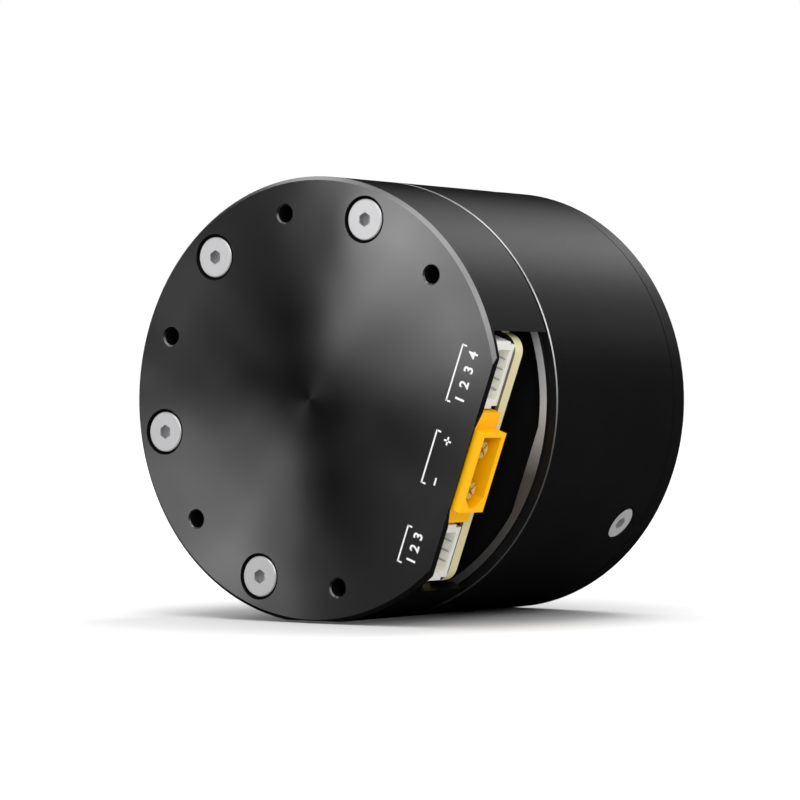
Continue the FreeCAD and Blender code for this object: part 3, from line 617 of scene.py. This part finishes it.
# %% The housing, with a narrow seam edge and rounded edges
SEAM = 30.5
CHAMFER = 0.4
SEAM_EDGE = 0.12
SEAM_DROP = 0.20
edge_top = SEAM - SEAM_DROP
# Painted highlight: the seam's broken edge is a light metal so that it shows as a bright line.
seam_highlight = finish_named(
    "seam_highlight", (0.38, 0.38, 0.39), (0.44, 0.44, 0.45), 0.9, 0.35, grain_scale=8000.0)
housing = clean_copy("motor_housing", "turned_motor_housing")
for vertex in housing.data.vertices:
    far, depth = from_axis(vertex.co), -vertex.co.y / MM
    if far > BODY_R - 0.03 and abs(depth - SEAM + CHAMFER) < 0.02:
        vertex.co.y = -(edge_top - SEAM_EDGE) * MM
    elif abs(far - BODY_R + CHAMFER) < 0.03 and abs(depth - SEAM) < 0.01:
        vertex.co.xz = Vector(vertex.co.xz) * (BODY_R - SEAM_EDGE) / far
        vertex.co.y = -edge_top * MM
round_edges(housing, 0.05, 2, 35)
smooth_by_angle(housing, 30)
dress(housing, side_black, bare_land, seam_highlight)

# %% Which of its faces are land and edge
LAND_INNER, LAND_OUTER = 24.0, 25.6
LAND_LOW, LAND_HIGH = 30.9, 31.05
counts = [0, 0, 0]
for polygon in housing.data.polygons:
    reach = [from_axis(housing.data.vertices[i].co) for i in polygon.vertices]
    depth = -polygon.center.y / MM
    on_land = (polygon.normal.y < -0.9 and LAND_LOW < depth < LAND_HIGH
               and min(reach) > LAND_INNER and max(reach) < LAND_OUTER)
    on_edge = min(reach) > BODY_R - SEAM_EDGE - 0.03 and edge_top - SEAM_EDGE < depth < edge_top - 0.005
    polygon.material_index = 1 if on_land else 2 if on_edge else 0
    counts[polygon.material_index] += 1
print("housing: black, land and edge faces", counts)
finished(housing, "housing", "dark_anodised", "motor_housing")

# %% [markdown]
# ## The output side
#
# The cover of the output side meets the housing in a fine dark line. Its outer corner is
# drawn back a little there, which leaves a narrow gap for the shadow. Its face and the
# flange's face are turned like the rear cover. The flange is left bare, since a driven
# part is bolted against it and has to sit flat.

# %% The output cover
JOINT_GAP = 0.14
joint = -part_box("motor_housing")[1][1] / MM
front_cover = clean_copy("output_cover", "turned_output_cover")
for vertex in front_cover.data.vertices:
    if from_axis(vertex.co) > BODY_R - 0.03 and abs(-vertex.co.y / MM - joint) < 0.02:
        vertex.co.y = -(joint - JOINT_GAP) * MM
round_edges(front_cover, 0.05, 2, 35)
smooth_by_angle(front_cover, 30)
dress(front_cover, side_black, faced, rim_highlight_grey)
counts = [0, 0, 0]
for polygon in front_cover.data.polygons:
    depth = -polygon.center.y / MM
    # Painted highlight: the rim's chamfer takes the lighter grey here too.
    rim = depth < 2.0 and 0.3 < polygon.normal.y < 0.95 and from_axis(polygon.center) > 25.0
    polygon.material_index = 2 if rim else 1 if depth < 0.7 and polygon.normal.y > 0.95 else 0
    counts[polygon.material_index] += 1
print("output cover: black, face and rim faces", counts)
finished(front_cover, "housing", "dark_anodised", "output_cover")
print("joint at", round(joint, 2), "mm from the output face")

# %% The output flange
flange = clean_copy("output_flange", "turned_output_flange")
round_edges(flange, 0.05, 2, 35)
smooth_by_angle(flange, 30)
dress(flange, finishes["bare_aluminium"], flange_face)
for polygon in flange.data.polygons:
    polygon.material_index = 1 if polygon.normal.y > 0.9 and -polygon.center.y < 0.1 * MM else 0
finished(flange, "output", "bare_aluminium", "output_flange")

# %% [markdown]
# ## Socket screws
#
# Seven countersunk screws hold the housing: four on the rear face and three round the
# side. They repeat on a circle, so one Geometry Nodes tree makes both sets. It draws a
# head, cuts the hexagon socket out of it, and puts a copy at each place. The rear ones face
# along the axis and the side ones face outwards, which is one input.

# %% A small kit for Geometry Nodes


def add_node(tree, kind, **inputs):
    """One node with its named inputs linked or set; an underscore stands for a space."""
    node = tree.nodes.new(kind)
    for name, value in inputs.items():
        socket = node.inputs[name.replace("_", " ")]
        if hasattr(value, "is_output"):
            tree.links.new(value, socket)
        else:
            socket.default_value = value
    return node


def run_tree(tree, name, values):
    """Runs a tree on an empty mesh and returns its result as a plain mesh object."""
    carrier = put_in_scene(name + "_carrier", bpy.data.meshes.new(name + "_carrier"))
    modifier = carrier.modifiers.new("make", "NODES")
    modifier.node_group = tree
    sockets = {item.name: item.identifier for item in tree.interface.items_tree if item.in_out == "INPUT"}
    for label, value in values.items():
        modifier[sockets[label]] = value
    mesh = evaluated_mesh(carrier)
    carrier.modifiers.clear()
    bpy.data.objects.remove(carrier)
    return put_in_scene(name, mesh)


# %% The screw tree: inputs
screws = bpy.data.node_groups.new("socket_screws", "GeometryNodeTree")
screws.interface.new_socket("Count", in_out="INPUT", socket_type="NodeSocketInt")
for label in ("First Angle", "Step", "Circle Radius", "Height", "Tilt", "Head Radius", "Shank Radius",
              "Head Depth", "Length", "Socket Radius", "Socket Depth"):
    screws.interface.new_socket(label, in_out="INPUT", socket_type=FLOAT)
screws.interface.new_socket("Material", in_out="INPUT", socket_type="NodeSocketMaterial")
screws.interface.new_socket("Geometry", in_out="OUTPUT", socket_type="NodeSocketGeometry")
given = screws.nodes.new("NodeGroupInput").outputs
result = screws.nodes.new("NodeGroupOutput").inputs["Geometry"]


def calc(operation, *values):
    """A Math node in the screw tree."""
    return math_node(screws, operation, *values)


def shifted(geometry, z):
    """The geometry moved along the screw's own axis."""
    offset = add_node(screws, "ShaderNodeCombineXYZ", Z=z).outputs[0]
    return add_node(screws, "GeometryNodeTransform", Geometry=geometry, Translation=offset).outputs[0]


# %% The screw tree: head, shank and socket
EDGE = 0.12 * MM    # the small chamfer round the head
head_depth = calc("SUBTRACT", given["Head Depth"], EDGE)
cone = add_node(screws, "GeometryNodeMeshCone", Vertices=64, Radius_Top=given["Head Radius"],
                Radius_Bottom=given["Shank Radius"], Depth=head_depth)
cone = shifted(cone.outputs["Mesh"], calc("MULTIPLY", given["Head Depth"], -1.0))
rim_top = calc("SUBTRACT", given["Head Radius"], EDGE)
rim = add_node(screws, "GeometryNodeMeshCone", Vertices=64, Radius_Top=rim_top,
               Radius_Bottom=given["Head Radius"], Depth=EDGE)
rim = shifted(rim.outputs["Mesh"], -EDGE)
shank = add_node(screws, "GeometryNodeMeshCylinder", Vertices=32, Radius=given["Shank Radius"],
                 Depth=given["Length"])
below_face = calc("MULTIPLY", given["Length"], -0.501)
shank = shifted(shank.outputs["Mesh"], below_face)
solid = add_node(screws, "GeometryNodeMeshBoolean")
solid.operation = "UNION"
for part in (cone, rim, shank):
    screws.links.new(part, solid.inputs["Mesh 2"])
hexagon = add_node(screws, "GeometryNodeMeshCylinder", Vertices=6, Radius=given["Socket Radius"],
                   Depth=calc("MULTIPLY", given["Socket Depth"], 2.0))
hexagon = add_node(screws, "GeometryNodeTransform", Geometry=hexagon.outputs["Mesh"],
                   Rotation=Euler((0, 0, ROLL)))
cut = add_node(screws, "GeometryNodeMeshBoolean")
cut.operation = "DIFFERENCE"
screws.links.new(solid.outputs["Mesh"], cut.inputs["Mesh 1"])
screws.links.new(hexagon.outputs[0], cut.inputs["Mesh 2"])
print("screw drawn with", len(screws.nodes), "nodes")

# %% The screw tree: one at each place, then turned to lie along the motor
index = screws.nodes.new("GeometryNodeInputIndex").outputs[0]
angle = calc("ADD", given["First Angle"], calc("MULTIPLY", index, given["Step"]))
spot_x = calc("MULTIPLY", calc("COSINE", angle), given["Circle Radius"])
spot_y = calc("MULTIPLY", calc("SINE", angle), given["Circle Radius"])
spot = add_node(screws, "ShaderNodeCombineXYZ", X=spot_x, Y=spot_y, Z=given["Height"])
points = add_node(screws, "GeometryNodePoints", Count=given["Count"], Position=spot.outputs[0])
lean = add_node(screws, "ShaderNodeCombineXYZ", Y=given["Tilt"], Z=angle)
copies = add_node(screws, "GeometryNodeInstanceOnPoints", Points=points.outputs[0],
                  Instance=cut.outputs["Mesh"], Rotation=lean.outputs[0])
realised = add_node(screws, "GeometryNodeRealizeInstances", Geometry=copies.outputs[0])
turn = Euler(motor_matrix().to_euler())
laid = add_node(screws, "GeometryNodeTransform", Geometry=realised.outputs[0], Rotation=turn)
coloured = add_node(screws, "GeometryNodeSetMaterial", Geometry=laid.outputs[0], Material=given["Material"])
screws.links.new(coloured.outputs[0], result)

# %% Both sets of screws
REAR_SUNK = 0.14
SIDE_SUNK = 0.12
SIDE_SCREW_DEPTH = 8.1
SHARED = {"Shank Radius": 1.25 * MM, "Socket Radius": 0.87 * MM, "Material": finishes["stainless_screw"]}
REAR_SET = {"Count": 4, "First Angle": math.radians(REAR_SCREW_ANGLES[0]), "Step": math.radians(60),
            "Circle Radius": SCREW_CIRCLE_R * MM, "Height": (REAR - REAR_SUNK) * MM, "Tilt": 0.0,
            "Head Radius": 2.43 * MM, "Head Depth": 1.2 * MM, "Length": 10.0 * MM, "Socket Depth": 0.9 * MM}
SIDE_SET = {"Count": 3, "First Angle": math.radians(-15), "Step": math.radians(120),
            "Circle Radius": (BODY_R - SIDE_SUNK) * MM, "Height": SIDE_SCREW_DEPTH * MM,
            "Tilt": math.pi / 2, "Head Radius": 2.2 * MM, "Head Depth": 0.95 * MM,
            "Length": 3.8 * MM, "Socket Depth": 0.75 * MM}
for name, values, node in (("rear_cover_screws", REAR_SET, "cover_screws"),
                           ("side_housing_screws", SIDE_SET, "side_screws")):
    screw_set = run_tree(screws, name, {**SHARED, **values})
    smooth_by_angle(screw_set, 25)
    finished(screw_set, "housing", "stainless_screw", node)

# %% [markdown]
# ## Moulded connectors
#
# A moulded part never has a sharp edge: the tool rounds it by a tenth of a millimetre or
# so, and that round is what catches the light. The solids have the right shape but sharp
# edges, so each is copied, its flat triangles are joined into whole faces, and a Bevel
# modifier rounds what is left.

# %% Rounding the edges of a solid


def softened(node, name, width, segments=2, finish=None):
    """A copy of a housing part with its edges rounded, in its own finish or another."""
    obj = clean_copy(node, name)
    round_edges(obj, width, segments, 40)
    smooth_by_angle(obj, 40)
    dress(obj, finishes[finish or slot_of[node]])
    finished(obj, "housing", slot_of[node], node)
    return obj


softened("power_connector", "power_plug_body", 0.10, 3)
softened("controller_chip", "controller_body", 0.06)
softened("edge_resistor", "edge_resistor_body", 0.05, finish="resistor_grey")

# %% Signal connectors, with a lighter cream in the mouth, partly painted light
WALL = 0.7
MOUTH_H = 2.3
SLACK = 0.03
mouths = {}
for node, name in (("serial_connector", "serial_plug_body"), ("bus_connector", "bus_plug_body")):
    plug = softened(node, name, 0.06)
    # The mouth is a lighter cream than the shell: partly its own tone, partly painted light against the shade
    # inside.
    plug.data.materials.append(finishes["cream_insert"])
    (_, front), (low, high), (base, _) = span(node)
    for polygon in plug.data.polygons:
        place = in_motor_terms(polygon.center)
        inside = (place.x < front - 0.05 and low + WALL < place.y < high - WALL
                  and base + WALL - SLACK < place.z < base + WALL + MOUTH_H + SLACK)
        polygon.material_index = 1 if inside else 0
    mouths[node] = (front, base + WALL)

# %% [markdown]
# ## Contacts in the mouths
#
# A blade lies on the wall of each mouth for every contact. They repeat at the pitch of the
# connector, so a second, smaller Geometry Nodes tree lays them out in a row.

# %% The row tree
row = bpy.data.node_groups.new("contact_row", "GeometryNodeTree")
for label, kind in (("Count", "NodeSocketInt"), ("Start", VECTOR), ("Step", VECTOR), ("Blade", VECTOR),
                    ("Material", "NodeSocketMaterial")):
    row.interface.new_socket(label, in_out="INPUT", socket_type=kind)
row.interface.new_socket("Geometry", in_out="OUTPUT", socket_type="NodeSocketGeometry")
chosen = row.nodes.new("NodeGroupInput").outputs
line = add_node(row, "GeometryNodeMeshLine", Count=chosen["Count"], Start_Location=chosen["Start"],
                Offset=chosen["Step"])
blade = add_node(row, "GeometryNodeMeshCube", Size=chosen["Blade"])
blades = add_node(row, "GeometryNodeInstanceOnPoints", Points=line.outputs[0],
                  Instance=blade.outputs["Mesh"])
blades = add_node(row, "GeometryNodeRealizeInstances", Geometry=blades.outputs[0])
blades = add_node(row, "GeometryNodeTransform", Geometry=blades.outputs[0], Rotation=turn)
blades = add_node(row, "GeometryNodeSetMaterial", Geometry=blades.outputs[0], Material=chosen["Material"])
row.links.new(blades.outputs[0], row.nodes.new("NodeGroupOutput").inputs["Geometry"])

# %% A row in each signal connector
PITCH = 1.25
BLADE = Vector((3.4, 0.20, 0.14))
INSET = 0.25
SUNK = 0.01
for node, count, name in (("serial_connector", 3, "serial_blades"), ("bus_connector", 4, "bus_blades")):
    front, wall = mouths[node]
    low, high = span(node.replace("connector", "contacts"))[1]
    first = (low + high) / 2 - (count - 1) * PITCH / 2
    start = Vector((front - INSET - BLADE.x / 2, first, wall + BLADE.z / 2 - SUNK))
    blades = run_tree(row, name, {"Count": count, "Start": start * MM, "Step": Vector((0, PITCH, 0)) * MM,
                                  "Blade": BLADE * MM, "Material": finishes["blade_grey"]})
    round_edges(blades, 0.03, 1, 40)
    smooth_by_angle(blades, 40)
    finished(blades, "housing", "tin_contact")

# %% [markdown]
# ## The print on the rear face
#
# White marks say which contact is which. They are plain numbers and signs, with a bracket
# over each group, drawn as text and as thin bars and laid on the face in the motor's own
# terms. Text reads along the connectors, with the tops of the figures away from them.

# %% White ink
ink = finish_named("white_ink", (0.80, 0.80, 0.80), (0.86, 0.86, 0.86), 0.0, 0.55, patch=600.0)


def lay_on_face(mesh, outward, across, turn_or_size):
    """Moves a small drawing to its place on the rear face."""
    spot = Matrix.Translation((outward * MM, across * MM, (REAR - PRINT_T / 2) * MM))
    mesh.transform(motor_matrix() @ spot @ turn_or_size)
    return mesh


def printed(figure, outward, across):
    """A figure as a thin solid on the rear face, its middle at the given place."""
    curve = bpy.data.curves.new("figure", "FONT")
    curve.body = figure
    curve.size = FIGURE_SIZE * MM
    curve.align_x = "CENTER"
    curve.align_y = "CENTER"
    curve.extrude = PRINT_T * MM / 2
    curve.offset = 0.04 * MM
    drawn = put_in_scene("figure_drawn", curve)
    mesh = evaluated_mesh(drawn)
    bpy.data.objects.remove(drawn)
    quarter = Matrix.Rotation(math.pi / 2, 4, "Z")
    return lay_on_face(mesh, outward, across, quarter)


def bar(outward, across, wide, high):
    """A thin bar on the rear face."""
    mesh = bpy.data.meshes.new("bar")
    shape = bmesh.new()
    bmesh.ops.create_cube(shape, size=1.0)
    shape.to_mesh(mesh)
    shape.free()
    size = Matrix.Diagonal((high * MM, wide * MM, PRINT_T * MM, 1))
    return lay_on_face(mesh, outward, across, size)


# %% Figures, signs and brackets
FIGURE_SIZE = 1.75
FIGURE_ROW, BRACKET_ROW = 20.0, 18.2
LINE_W, SIGN_W = 0.2, 0.22
BRACKET_FOOT = 0.6
marks = []
for group, places in (("123", (-12.6, -11.1, -9.6)), ("1234", (7.3, 9.1, 10.9, 12.7))):
    for figure, across in zip(group, places):
        marks.append(printed(figure, FIGURE_ROW, across))
for across, wide, high in ((-2.8, 0.9, SIGN_W), (2.2, 1.0, SIGN_W), (2.2, SIGN_W, 1.0)):
    marks.append(bar(FIGURE_ROW, across, wide, high))
for left, right in ((-13.4, -8.8), (-3.6, 3.0), (6.5, 13.5)):
    marks.append(bar(BRACKET_ROW, (left + right) / 2, right - left, LINE_W))
    for end in (left + LINE_W / 2, right - LINE_W / 2):
        marks.append(bar(BRACKET_ROW + BRACKET_FOOT / 2, end, LINE_W, BRACKET_FOOT))
whole = bmesh.new()
for mesh in marks:
    whole.from_mesh(mesh)
sheet = bpy.data.meshes.new("contact_print")
whole.to_mesh(sheet)
whole.free()
print_piece = put_in_scene("contact_print", sheet)
dress(print_piece, ink)
finished(print_piece, "housing", "white_nylon")

# %% [markdown]
# ## Floor, light and camera
#
# A black object on white is lit by what it reflects. Large dark cards stand where the
# black parts mirror them, and soft lamps stand only where the highlights belong. The
# cards are out of the camera's sight and only reflections see them. The glow on the round
# side is brightest in its middle and fades both ways, so a fan of narrow strips makes it,
# each lying along the axis and each with its own strength. The floor adds a glow that
# grows with distance, so that it meets the white background without a line.

# %% Floor


def seen_directly(tree):
    """1 for rays that reach the eye straight, by a mirror or through glass, else 0."""
    path = tree.nodes.new("ShaderNodeLightPath").outputs
    seen = math_node(tree, "MAXIMUM", path["Is Camera Ray"], path["Is Glossy Ray"])
    return math_node(tree, "MAXIMUM", seen, path["Is Transmission Ray"])


def flat_sheet(name, size):
    """A square of one face, lying flat."""
    mesh = bpy.data.meshes.new(name)
    shape = bmesh.new()
    bmesh.ops.create_grid(shape, x_segments=1, y_segments=1, size=size / 2)
    shape.to_mesh(mesh)
    shape.free()
    return mesh


FLOOR_SIZE = 8.0
floor_mesh = flat_sheet("floor", FLOOR_SIZE)
floor_mesh.transform(Matrix.Translation((0, 0, -BODY_R * MM)))
floor = put_in_scene("floor", floor_mesh)
floor_white = finish_named(
    "floor_paper", (0.575, 0.575, 0.575), (0.585, 0.585, 0.585), 0.0, 0.9, patch=4.0,
    grain_scale=300.0, Specular_IOR_Level=0.0)
tree, shader, bump, position = parts_of(floor_white)
seen = seen_directly(tree)
shader.inputs["Emission Color"].default_value = (1, 1, 1, 1)
away = tree.nodes.new("ShaderNodeVectorMath")
away.operation = "LENGTH"
tree.links.new(position, away.inputs[0])
near_glow = ramp_node(tree, away.outputs["Value"], 0.030, 0.070, 0.0, 0.14)
far_glow = ramp_node(tree, away.outputs["Value"], 0.12, 0.9, 0.0, 0.42)
glow = math_node(tree, "MULTIPLY", seen, math_node(tree, "ADD", near_glow, far_glow))
tree.links.new(glow, shader.inputs["Emission Strength"])
dress(floor, floor_white)

# %% World
AMBIENT = 0.95
scene = bpy.context.scene
world = bpy.data.worlds.new("studio")
scene.world = world
world.use_nodes = True
tree = world.node_tree
background = tree.nodes["Background"]
background.inputs["Color"].default_value = (1, 1, 1, 1)
strength = math_node(tree, "MULTIPLY_ADD", seen_directly(tree), 1 - AMBIENT, AMBIENT)
tree.links.new(strength, background.inputs["Strength"])

# %% Dark cards
card_black = finish_named(
    "card_black", (0.002, 0.002, 0.002), (0.003, 0.003, 0.003), 0.0, 1.0, Specular_IOR_Level=0.0)


def facing_origin(name, data, place):
    """An object at the place, its face turned to the motor."""
    obj = put_in_scene(name, data)
    place = Vector(place)
    aim = (-place).to_track_quat("-Z", "Y").to_matrix().to_4x4()
    obj.matrix_world = Matrix.Translation(place) @ aim
    return obj


def card(name, place, wide, high, flat=False):
    """A dark card that turns its face to the motor, or lies flat."""
    mesh = flat_sheet(name, 1.0)
    mesh.transform(Matrix.Diagonal((wide, high, 1, 1)))
    obj = facing_origin(name, mesh, place)
    if flat:
        obj.matrix_world = Matrix.Translation(place)
    dress(obj, card_black)
    obj.visible_camera = False
    obj.visible_diffuse = False
    obj.visible_shadow = False


card("card_back", (0.22, 0.95, 0.30), 4.0, 1.8)
card("card_left", (-0.86, 0.37, 0.36), 1.3, 0.9)
card("card_front_left", (-0.65, -0.95, 0.40), 2.8, 2.0)
card("card_above", (0.0, 0.0, 1.3), 2.4, 2.4)
card("card_behind_camera", (0.62, -0.90, 0.25), 1.1, 1.0)
card("card_table", (0.15, 0.05, -0.0262), 1.9, 1.9, flat=True)

# %% Lamps


def lamp(name, place, wide, high, power):
    """An area lamp that faces the motor."""
    light = bpy.data.lights.new(name, "AREA")
    light.shape = "RECTANGLE"
    light.size = wide
    light.size_y = high
    light.energy = power
    return facing_origin(name, light, place)


# The camera mirrors in the round side at OPEN degrees from the axis. A strip that is to show
# at an angle up the side stands at twice that angle. GLOW holds each one's brightness.
OPEN = math.radians(35)
AWAY = 0.9
STRIP_W = 2 * AWAY * math.tan(math.radians(6))
STRIP_L = 0.5
GLOW = {17: 0.12, 23: 0.20, 29: 0.20, 35: 0.42, 41: 0.74, 47: 0.80, 53: 0.48, 59: 0.27, 65: 0.10}
for up, strength in GLOW.items():
    turn_c, turn_s = math.cos(math.radians(2 * up)), math.sin(math.radians(2 * up))
    toward = Vector((math.sin(OPEN) * turn_c, math.cos(OPEN), math.sin(OPEN) * turn_s))
    length = Vector((math.cos(OPEN) * turn_c, -math.sin(OPEN), math.cos(OPEN) * turn_s))
    power = strength * math.pi * STRIP_W * STRIP_L
    strip = lamp("lamp_strip_%d" % up, toward * AWAY, STRIP_W, STRIP_L, power)
    turned = Matrix((length.cross(toward), length, toward)).transposed().to_4x4()
    strip.matrix_world = Matrix.Translation(toward * AWAY) @ turned
for name, place, side, power in (("lamp_fan_main", (-0.30, -0.78, 0.34), 0.24, 2.6),
                                 ("lamp_fan_right", (-0.20, -0.86, 0.12), 0.12, 0.8),
                                 ("lamp_fan_left", (-0.76, -0.45, 0.20), 0.10, 0.3)):
    fan = lamp(name, place, side, side, power)
    fan.visible_diffuse = False
lamp("lamp_behind_top", (0.02, 0.36, 0.75), 0.40, 0.40, 4.0).visible_glossy = False
lamp("lamp_rim", (0.16, -0.32, 0.74), 0.50, 0.50, 2.4)
lamp("lamp_rim_left", (-0.44, -0.01, 0.70), 0.40, 0.34, 1.2)
lamp("lamp_rim_right", (0.58, -0.44, 0.38), 0.40, 0.40, 1.35)

# %% Camera
CAMERA_PLACE = (0.24583, -0.37716, -0.00051)
camera_data = bpy.data.cameras.new("camera")
camera_data.lens = 157.55
camera_data.sensor_width = 36.0
camera_data.clip_start = 0.01
camera = put_in_scene("camera", camera_data)
right = Vector((0.82034, 0.57188, 0.0008))
forward = Vector((-0.57188, 0.82034, 0.00119))
upward = right.cross(forward)
axes = Matrix((right, upward, -forward)).transposed().to_4x4()
camera.matrix_world = Matrix.Translation(CAMERA_PLACE) @ axes
scene.camera = camera
scene.view_settings.view_transform = "Standard"
